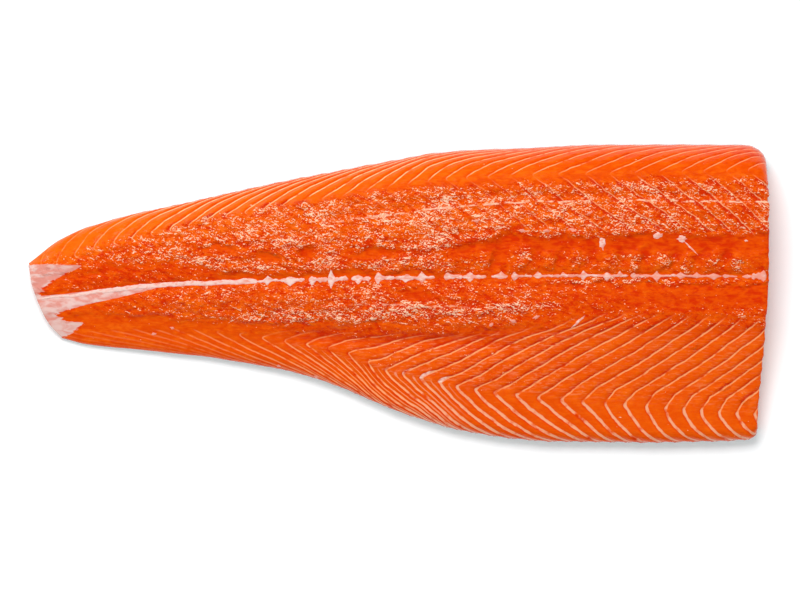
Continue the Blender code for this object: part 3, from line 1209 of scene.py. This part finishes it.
@dataclass(frozen=True)
class FleshFinish:
    """Raw salmon flesh: wet, orange, with pale walls, torn fibres and painted glints on them, and painted shade
    beside the walls.
    """

    deep: Colour = (208, 44, 0)
    middle: Colour = (226, 76, 0)
    bright: Colour = (240, 102, 8)
    wall_thin: Colour = (253, 172, 114)
    wall_fine_and_glint: Colour = (255, 208, 150)
    wall_thick: Colour = (240, 170, 132)
    wall_knot: Colour = (255, 240, 228)
    pale_fibre_and_glint: Colour = (255, 206, 174)
    sheen_and_torn_orange: Colour = (246, 132, 70)
    fat: Colour = (248, 172, 128)
    film_cream: Colour = (224, 194, 187)
    film_pink: Colour = (216, 146, 134)
    torn_slant: float = -0.5
    dullness: tuple[float, float] = (0.1, 0.12)

    def material(self) -> bpy.types.Material:
        """Builds the finish as a node material."""
        g = NodeGraph("salmon_flesh")
        rough = g.attribute("rough")
        walls, thick, shade = self.walls(g, rough)
        lumps = g.noise((5.0, 2.6, 2.6), 2.0, 0.6, 1.0, self.torn_slant)
        crumbs, painted_light_slopes = self.crumbs(g)
        folds = g.noise((3.4, 2.2, 2.2), 1.0, 0.9, 16.0, self.torn_slant)
        torn = self.fibres_and_painted_glints(g, rough, lumps, painted_light_slopes)
        fibres = g.noise((4.5, 0.8, 0.8), 1.0, 0.3) - 0.5
        clouds = g.noise(12.0, 3.0, 0.0, 2.0) - 0.5
        blotches = g.noise((4.5, 2.4, 2.4), 2.0, 0.5, 5.0) - 0.5

        # painted shade: the flesh is darker on the tail side of each wall
        tone = g.attribute("tone") + clouds * 0.6 + fibres * 0.5 - shade * (rough * 1.4 + 0.5)
        tone = tone + blotches * (1.5 - g.attribute("wall"))
        # painted light and shade: torn flesh is lighter where its finest lumps rise towards the back, as if lit
        # from there, and darker where they fall
        tone = tone + ((lumps - 0.5) * 1.6 + (folds - 0.5) * 1.8 + painted_light_slopes * 2.0) * rough
        colour = g.mix(tone.step(-0.15, 0.5), linear(self.deep), linear(self.middle))
        colour = g.mix(tone.step(0.4, 1.1), colour, linear(self.bright))
        colour = g.mix(self.fat_streaks(g), colour, linear(self.fat))
        # painted sheen and glints on the torn flesh, together with its pale fibres
        colour = g.mix(torn * 0.8, colour, linear(self.sheen_and_torn_orange))
        colour = g.mix(torn.step(0.35, 1.0) * 0.95, colour, linear(self.pale_fibre_and_glint))
        colour = g.mix(self.seams(g) * 0.8, colour, linear(self.pale_fibre_and_glint))
        # the thin walls of the back get a paler colour: their own pale tissue with a painted highlight on their
        # ridges
        fine = g.attribute("wall_width").step(0.26, 0.2)
        wall_colour = g.mix(fine, linear(self.wall_thin), linear(self.wall_fine_and_glint))
        wall_colour = g.mix(thick, wall_colour, linear(self.wall_thick))
        knot = g.attribute("wall_width").step(0.7, 1.1)
        wall_colour = g.mix(knot, wall_colour, linear(self.wall_knot))
        colour = g.mix(walls * 0.9, colour, wall_colour)
        film = self.film(g)
        pinks = g.noise((8.0, 3.0, 3.0), 3.0, 0.5, 4.0) + g.along("Y") * 0.005
        film_colour = g.mix(pinks.step(0.36, 0.6), linear(self.film_cream), linear(self.film_pink))
        colour = g.mix(film * 0.9, colour, film_colour)

        height = lumps * (rough * 1.2 + 0.1) + crumbs * (rough * 0.5 + 0.04) + folds * rough
        g.bump(height + fibres * 0.12 + torn * 0.08 - walls * 0.08)
        dull = g.noise(5.0, 2.0, 0.0, 6.0) * self.dullness[1] + self.dullness[0]
        g.set(Base_Color=colour, Roughness=dull, IOR=1.38, Specular_IOR_Level=0.3)
        return g.material

    def crumbs(self, g: NodeGraph) -> tuple[Signal, Signal]:
        """The finest lumps of torn flesh, and how much they rise towards the back, which paints light and shade on
        them as if lit from the back.
        """
        sizes = (1.9, 1.4, 1.4)
        here = g.noise(sizes, 1.5, 1.1, 14.0, self.torn_slant)
        nudged = g.noise(sizes, 1.5, 1.1, 14.0, self.torn_slant, (-0.25, 0.6))
        return here, here - nudged

    def fat_streaks(self, g: NodeGraph) -> Signal:
        """Faint pale streaks of fat along the fibres of the muscle blocks."""
        streaks = g.noise((6.0, 0.9, 0.9), 2.0, 0.8, 22.0).step(0.5, 0.75)
        return streaks * g.attribute("fat")

    def walls(self, g: NodeGraph, rough: Signal) -> tuple[Signal, Signal, Signal]:
        """Draws the walls between the muscle blocks.

        Args:
            g: The material's nodes.
            rough: How torn the flesh is: the walls are wavy there.

        Returns:
            Where the walls show, how thick they are, and how strong the painted shade beside them is
            on their tail side, all from 0 to 1.
        """
        sway = (g.noise(11.0, 2.0, 0.0, 1.0) - 0.5) * 0.3 + (g.noise(2.0, 2.0, 0.0, 3.0) - 0.5) * 0.06
        number = g.attribute("block") + sway + (g.noise(3.6, 2.0, 0.4, 18.0) - 0.5) * rough * 0.22
        spacing = g.attribute("spacing")
        past_wall = number - g.math("ROUND", number)
        distance = abs(past_wall) * spacing
        uneven = g.noise(4.0, 2.0, 0.0, 9.0) * 1.3 + 0.35
        width = g.attribute("wall_width") * uneven
        plain = g.noise(6.0, 3.0, 0.0, 5.0).step(0.28, 0.5)
        line = distance.step(width + 0.3, width - 0.15) * g.attribute("wall") * plain
        halfway = (abs(past_wall) * -1.0 + 0.5) * spacing
        doubled = halfway.step(width * 0.6 + 0.15, width * 0.6 - 0.1) * g.attribute("doubled")
        # painted shade: a dark band beside each wall, on its tail side
        painted_shade_beside = distance.step(rough * 1.2 + 2.0, 0.4) * past_wall.step(0.0, -0.05)
        thick = g.attribute("wall_width").step(0.3, 0.6)
        crowded = spacing.step(1.2, 3.2)
        return line.high(doubled) * crowded, thick, painted_shade_beside * g.attribute("wall")

    def seams(self, g: NodeGraph) -> Signal:
        """The pale threads that run along the fillet, from 0 to 1."""
        sway = (g.noise(7.0, 3.0, 0.3, 12.0) - 0.5) * 3.0
        off = abs(g.attribute("from_seam") + sway)
        broken = g.noise(3.5, 2.0, 0.0, 13.0).step(0.42, 0.58)
        return off.step(0.75, 0.25) * g.attribute("seam") * broken

    def fibres_and_painted_glints(self, g: NodeGraph, rough: Signal, lumps: Signal, painted_light_slopes: Signal) -> Signal:
        """Pale torn fibres and painted glints on them, where the flesh is rough.

        Args:
            g: The material's nodes.
            rough: How torn the flesh is.
            lumps: The larger lumps of the torn flesh.
            painted_light_slopes: How much its finest lumps rise towards the back; the glints are painted on that
                side, as if lit from the back.

        Returns:
            Where the fibres and painted glints show, from 0 to 1.
        """
        patches = g.noise((18.0, 9.0, 9.0), 3.0, 0.0, 7.0) - 0.5
        curls = g.squiggles((3.4, 2.5, 2.5), 0.035, 21.0, self.torn_slant)
        fine = painted_light_slopes * 2.4 + curls * 0.5 * rough
        amount = fine + (lumps - 0.5) * 1.7 + patches * 1.1 + rough * 0.8
        return amount.step(0.78, 1.4)

    def film(self, g: NodeGraph) -> Signal:
        """The ragged silvery film at the tail, from 0 to 1."""
        torn = (g.noise((4.0, 1.5, 1.5), 3.0, 0.5, 2.0) - 0.5) * 9.0
        return (g.attribute("film") + torn).step(-0.4, 1.0)


@dataclass(frozen=True)
class SkinFinish:
    """Salmon skin: small scales, silver towards the belly and slate towards the back."""

    silver: Colour = (196, 198, 196)
    slate: Colour = (72, 82, 84)
    scale_size: float = 3.2
    dullness: float = 0.24

    def material(self) -> bpy.types.Material:
        """Builds the finish as a node material."""
        g = NodeGraph("salmon_skin")
        from_belly = g.noise(20.0, 3.0) * 20.0 + g.along("Y")
        dark = from_belly.step(20.0, 75.0)
        scales = g.cells((self.scale_size, self.scale_size * 0.8, self.scale_size))
        shade = dark + scales * 0.5 - 0.2
        colour = g.mix(shade.step(-0.1, 1.1), linear(self.silver), linear(self.slate))
        g.bump(scales * -0.25)
        g.set(Base_Color=colour, Roughness=self.dullness, Metallic=0.35, Coat_Weight=0.4)
        return g.material


@dataclass(frozen=True)
class TissueFinish:
    """The tough pale tissue of the spine strip and of the cartilage bits."""

    name: str
    white: Colour = (238, 202, 192)
    pink: Colour = (236, 150, 130)
    pink_share: float = 0.5
    pinker: float = 0.0  # how much the share rises for each millimetre towards the head

    def material(self) -> bpy.types.Material:
        """Builds the finish as a node material."""
        g = NodeGraph(self.name)
        share = g.noise((3.0, 1.2, 1.2), 3.0, 0.6) + g.along("X") * self.pinker + self.pink_share
        pink = share.step(0.85, 1.15)
        g.bump(g.noise(0.9, 3.0) * 0.25)
        colour = g.mix(pink, linear(self.white), linear(self.pink))
        g.set(Base_Color=colour, Roughness=0.28, IOR=1.38)
        return g.material


class FleshProbe:
    """Finds the height of the finished flesh at any place in the plan."""

    def __init__(self, piece: bpy.types.Object) -> None:
        """Reads the finished mesh of the fillet."""
        self.piece = piece
        bpy.context.view_layer.update()

    def height(self, x: float, y: float) -> float:
        """The height of the flesh at a place, in millimetres, or 0 outside the fillet."""
        start, down = Vector((x * MM, y * MM, 0.1)), Vector((0.0, 0.0, -1.0))
        hit, place, _, _ = self.piece.ray_cast(start, down)
        return place.z / MM if hit else 0.0


@dataclass(frozen=True)
class StripPart:
    """One part of the spine strip: a thin flake with a spiky knot on it."""

    start: float
    end: float
    thin: float  # half its width away from the knot
    knot: float = 0.0  # where the knot is
    up: float = 0.0  # how far the knot reaches towards the back
    down: float = 0.0  # and towards the belly
    knot_half_length: float = 2.6


@dataclass
class SpineStrip:
    """The pale tissue left where the backbone was cut away, in a part for each joint of it."""

    form: FilletForm = field(default_factory=FilletForm)
    parts: tuple[StripPart, ...] = (
        StripPart(-194.0, -75.5, 1.3, -82.0, 0.5, 0.3, 6.0),
        StripPart(-76.0, -62.5, 0.65, -70.0, 2.1, 2.0),
        StripPart(-63.5, -50.0, 1.04, -58.0, 1.0, 2.5, 3.5),
        StripPart(-48.0, -37.5, 1.17, -46.2, 0.9, 2.1),
        StripPart(-37.8, -26.5, 1.17, -35.9, 3.9, 4.2),
        StripPart(-25.0, -14.3, 1.04, -21.3, 1.5, 2.0),
        StripPart(-12.4, -1.3, 1.04, -10.5, 2.7, 2.5),
        StripPart(-1.6, 9.8, 1.04, 4.6, 1.4, 1.4),
        StripPart(9.0, 20.2, 0.91, 13.0, 2.4, 2.2),
        StripPart(25.0, 35.3, 1.17, 26.6, 1.8, 0.3),
        StripPart(34.8, 48.0, 0.91, 39.2, 2.2, 2.2),
        StripPart(50.5, 59.6, 0.85, 55.9, 2.0, 0.8),
        StripPart(61.3, 72.8, 0.61, 62.9, 2.1, 2.2),
        StripPart(73.0, 88.5, 0.66, 75.6, 2.0, 0.7),
        StripPart(87.6, 100.7, 0.72, 89.0, 1.7, 0.1),
        StripPart(98.6, 109.8, 0.65, 100.0, 2.4, 3.0),
        StripPart(108.8, 123.9, 0.72, 112.8, 1.3, 2.6),
        StripPart(118.0, 124.5, 0.4, 119.8, 2.4, 0.0),
        StripPart(125.5, 136.6, 0.75, 127.4, 1.0, 1.0, 3.2),
        StripPart(135.0, 151.0, 0.6, 139.8, 2.3, 2.7),
        StripPart(149.5, 160.0, 0.65, 152.4, 1.4, 1.4),
        StripPart(158.5, 167.5, 0.6, 161.2, 1.5, 0.6),
        StripPart(163.2, 174.8, 0.55, 170.4, 1.2, 1.6, 3.2),
        StripPart(175.0, 183.3, 0.45, 176.6, 0.6, 1.0),
        StripPart(185.5, 192.0, 0.5, 188.5, 0.9, 0.6),
        StripPart(190.6, 198.9, 1.54, 197.2, 2.1, 1.6, 3.5),
    )
    step: float = 0.3
    fade_in: float = 60.0
    taper: float = 2.0
    knot_sharpness: float = 1.4
    thickness: float = 0.4
    sides: int = 7

    def edges(self, part: StripPart, x: np.ndarray, along: np.ndarray) -> tuple[np.ndarray, np.ndarray]:
        """How far a part reaches towards the back and towards the belly.

        Args:
            part: The part.
            x: Places along it.
            along: The same places as points.

        Returns:
            Two distances from the spine line for each place.
        """
        from_end = np.minimum(x - part.start, part.end - x)
        blunt = np.sqrt(1.0 - (1.0 - np.clip(from_end / self.taper, 0.0, 1.0)) ** 2)
        body = part.thin * np.clip(0.35 + (x - part.start) / self.fade_in, 0.0, 1.0)
        is_long = part.end - part.start > self.fade_in
        body = body if is_long else np.full_like(x, part.thin)
        ragged_share = 0.25 if is_long else 0.8
        star = np.clip(1.0 - np.abs(x - part.knot) / part.knot_half_length, 0.0, 1.0)
        star = star**self.knot_sharpness
        reaches = []
        for reach, shift in ((part.up, 1.0), (part.down, 9.0)):
            ragged = 1.0 + ragged_share * grain(along, 2.5, 3, shift)
            reaches.append(np.maximum((body * ragged + reach * star) * blunt, 0.04))
        return reaches[0], reaches[1]

    def build(self, probe: "FleshProbe") -> bpy.types.Object:
        """Makes the strip as closed ribbons that lie on the flesh, all in one piece."""
        model = Solids()
        angles = np.linspace(0.0, pi, self.sides)
        for part in self.parts:
            x = np.linspace(part.start, part.end, round((part.end - part.start) / self.step) + 1)
            along = np.stack([x, np.zeros_like(x), np.zeros_like(x)], axis=1)
            centre = self.form.spine_at(x) + 0.5 * grain(along, 12.0, 2, 5.0)
            up, down = self.edges(part, x, along)
            rings = []
            for k, place in enumerate(x):
                ring = []
                for angle in angles:
                    side = cos(angle)
                    y = centre[k] + side * (up[k] if side > 0 else down[k])
                    rise = self.thickness * sin(angle) ** 0.7 * min(1.0, up[k] + down[k])
                    ring.append((place, y, probe.height(place, y) + rise - 0.08))
                rings.append(ring + [(px, py, pz - 0.5) for px, py, pz in ring[-2:0:-1]])
            model.add(rings)
        return model.build("spine_strip", TissueFinish("spine_tissue", pinker=0.0007))


@dataclass(frozen=True)
class Scrap:
    """A small scrap of tough tissue on the cut flesh."""

    centre: tuple[float, float]
    length: float
    width: float
    turn: float = 0.0  # in degrees from X


@dataclass
class Scraps:
    """The scraps of cartilage and pale tissue that the knife left on the flesh."""

    name: str
    finish: TissueFinish
    scraps: tuple[Scrap, ...]
    thickness: float = 0.45
    sides: int = 18
    ring_shares: tuple[float, ...] = (0.06, 0.35, 0.65, 0.88, 1.0)
    pointed: float = 1.2  # 2 for an ellipse, 1 for a diamond
    ragged: float = 0.6

    def build(self, probe: "FleshProbe") -> bpy.types.Object:
        """Makes the scraps as low closed mounds that lie on the flesh, all in one piece."""
        model = Solids()
        for scrap in self.scraps:
            along = Vector((cos(radians(scrap.turn)), sin(radians(scrap.turn)), 0.0))
            aside = Vector((-along.y, along.x, 0.0))
            centre = Vector((*scrap.centre, 0.0))
            thickness = self.thickness * min(1.0, scrap.width / 2.0)
            rings = []
            for share in self.ring_shares:
                ring = []
                for k in range(self.sides):
                    angle = 2 * pi * k / self.sides
                    way = along * (scrap.length / 2 * cos(angle)) + aside * (scrap.width / 2 * sin(angle))
                    power = self.pointed
                    reach = (abs(cos(angle)) ** power + abs(sin(angle)) ** power) ** (-1.0 / power)
                    reach *= 1.0 + self.ragged * noise.noise((centre + way) * 1.1)
                    place = centre + way * (share * reach)
                    rise = thickness * (1.0 - share**3) - 0.08
                    ring.append((place.x, place.y, probe.height(place.x, place.y) + rise))
                rings.append(ring)
            rings.append([(px, py, pz - 0.5) for px, py, pz in rings[-1]])
            model.add(rings)
        return model.build(self.name, self.finish)


CARTILAGE = (
    Scrap((110.4, 27.3), 8.0, 4.0, 95.0),
    Scrap((140.1, 31.1), 6.0, 3.8, 10.0),
    Scrap((153.1, 29.4), 5.2, 4.6),
    Scrap((158.2, 24.4), 12.0, 1.1, -45.0),
    Scrap((187.7, 28.4), 2.2, 1.6),
    Scrap((97.5, -15.2), 13.2, 1.4, 42.5),
)
LOOSE_TISSUE = (
    Scrap((67.2, 33.8), 4.0, 2.0, -10.0),
    Scrap((80.2, 33.8), 4.0, 2.0, 5.0),
    Scrap((94.2, 34.3), 4.0, 2.0, -20.0),
    Scrap((42.4, 39.2), 4.0, 1.8, 0.0),
    Scrap((103.4, 43.5), 3.5, 1.8, 20.0),
    Scrap((50.5, -17.0), 3.2, 2.0, 30.0),
    Scrap((62.4, -14.9), 4.3, 2.0, -10.0),
    Scrap((74.8, -12.7), 3.8, 2.0, 20.0),
    Scrap((24.6, -21.3), 1.8, 1.2, 0.0),
    Scrap((44.6, -13.2), 1.8, 1.2, 0.0),
    Scrap((-132.0, -21.9), 3.0, 1.5, 10.0),
    Scrap((-121.8, -18.6), 3.0, 1.5, -15.0),
    Scrap((-64.5, -39.2), 3.0, 1.4, -20.0),
    Scrap((-44.0, -45.0), 3.0, 1.4, -20.0),
)


class Solids:
    """Collects closed bodies, each made from rings of points, into one mesh."""

    def __init__(self) -> None:
        """Starts with no bodies."""
        self.verts: list[tuple[float, float, float]] = []
        self.faces: list[tuple[int, ...]] = []

    def add(self, rings: list[list[tuple[float, float, float]]]) -> None:
        """Adds a body: its rings one after another, with a cap at each end."""
        first, size = len(self.verts), len(rings[0])
        last = first + size * (len(rings) - 1)
        self.faces.append(tuple(range(first, first + size))[::-1])
        self.faces.append(tuple(range(last, last + size)))
        for start in range(first, last, size):
            for k in range(size):
                after = (k + 1) % size
                self.faces.append((start + k, start + after, start + size + after, start + size + k))
        self.verts += [point for ring in rings for point in ring]

    def build(self, name: str, finish: TissueFinish) -> bpy.types.Object:
        """Makes the piece.

        Args:
            name: The piece's name.
            finish: What it is made of.

        Returns:
            The new piece.
        """
        mesh = bpy.data.meshes.new(name)
        mesh.from_pydata(np.array(self.verts) * MM, [], self.faces)
        mesh.validate()
        mesh.shade_smooth()
        mesh.materials.append(finish.material())
        piece = bpy.data.objects.new(name, mesh)
        bpy.context.scene.collection.objects.link(piece)
        return piece


class Task(Enum):
    """What a studio light is there for."""

    SHADE = "shade"
    GLINTS = "glints"


@dataclass(frozen=True)
class Softbox:
    """A square studio light, aimed at the middle of the fillet."""

    name: str
    place: tuple[float, float, float]
    size: float
    power: float
    task: Task = Task.SHADE
    target: tuple[float, float, float] = (0.0, 0.0, 0.01)

    def build(self) -> bpy.types.Object:
        """Makes the light."""
        light = bpy.data.lights.new(self.name, "AREA")
        light.shape = "SQUARE"
        light.size = self.size
        light.energy = self.power
        lamp = bpy.data.objects.new(self.name, light)
        lamp.visible_camera = False
        lamp.visible_diffuse = self.task is Task.SHADE
        lamp.visible_glossy = self.task is Task.GLINTS
        lamp.location = self.place
        aim = Vector(self.target) - Vector(self.place)
        lamp.rotation_euler = aim.to_track_quat("-Z", "Y").to_euler()
        bpy.context.scene.collection.objects.link(lamp)
        return lamp


@dataclass
class Studio:
    """A pale floor, soft light from the upper left, and a camera that looks straight down."""

    lens: float = 400.0
    sensor: float = 36.0
    view_width: float = 0.432
    view_height: float = 0.02
    view_centre: tuple[float, float] = (0.00135, -0.0035)
    floor_size: float = 6.0
    floor_colour: Colour = (247, 250, 251)
    floor_glow: float = 0.13
    world_strength: float = 0.5
    lights: tuple[Softbox, ...] = (
        Softbox("key_light", (-0.25, 1.0, 1.8), 1.1, 34.0),
        Softbox("side_light", (-1.6, -0.9, 0.9), 0.8, 4.0),
        Softbox("rim_light", (1.6, -0.6, 0.9), 0.8, 1.0),
        Softbox("glint_light", (-0.8, 1.5, 1.4), 0.3, 2.0, Task.GLINTS),
    )

    def build_floor(self) -> bpy.types.Object:
        """Makes the pale floor that the fillet lies on."""
        half = self.floor_size / 2
        mesh = bpy.data.meshes.new("floor")
        corners = [(-half, -half, 0.0), (half, -half, 0.0), (half, half, 0.0), (-half, half, 0.0)]
        mesh.from_pydata(corners, [], [(0, 1, 2, 3)])
        g = NodeGraph("floor_paper")
        paper = linear(self.floor_colour)
        g.set(Base_Color=paper, Roughness=0.9, Specular_IOR_Level=0.0)
        g.set(Emission_Color=paper, Emission_Strength=self.floor_glow)
        mesh.materials.append(g.material)
        floor = bpy.data.objects.new("floor", mesh)
        bpy.context.scene.collection.objects.link(floor)
        return floor

    def build_camera(self) -> bpy.types.Object:
        """Makes the camera."""
        lens = bpy.data.cameras.new("camera")
        lens.lens = self.lens
        lens.sensor_width = self.sensor
        camera = bpy.data.objects.new("camera", lens)
        distance = self.view_width * self.lens / self.sensor
        camera.location = (*self.view_centre, self.view_height + distance)
        bpy.context.scene.collection.objects.link(camera)
        bpy.context.scene.camera = camera
        return camera

    def build(self) -> None:
        """Makes the floor, the lights, the surrounding light and the camera."""
        self.build_floor()
        for light in self.lights:
            light.build()
        world = bpy.data.worlds.new("studio")
        world.use_nodes = True
        background = world.node_tree.nodes["Background"]
        background.inputs["Color"].default_value = (1.0, 1.0, 1.0, 1.0)
        background.inputs["Strength"].default_value = self.world_strength
        world.cycles_visibility.glossy = False
        bpy.context.scene.world = world
        self.build_camera()
        bpy.context.scene.view_settings.view_transform = "Standard"


def main() -> None:
    """Builds the fillet and its studio, piece by piece."""
    logging.basicConfig(level=logging.INFO, format="%(name)s: %(message)s")
    fillet = Fillet().build()
    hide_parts(NODE)
    probe = FleshProbe(fillet)
    strip = SpineStrip().build(probe)
    cartilage = Scraps("cartilage", TissueFinish("cartilage", pink_share=0.5), CARTILAGE).build(probe)
    loose = Scraps("loose_tissue", TissueFinish("loose_tissue", pink_share=0.75), LOOSE_TISSUE).build(probe)
    for piece in (fillet, strip, cartilage, loose):
        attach(piece, "root")
        LOG.info("made %s with %d faces", piece.name, len(piece.data.polygons))
    Studio().build()


if __name__ == "__main__":
    main()
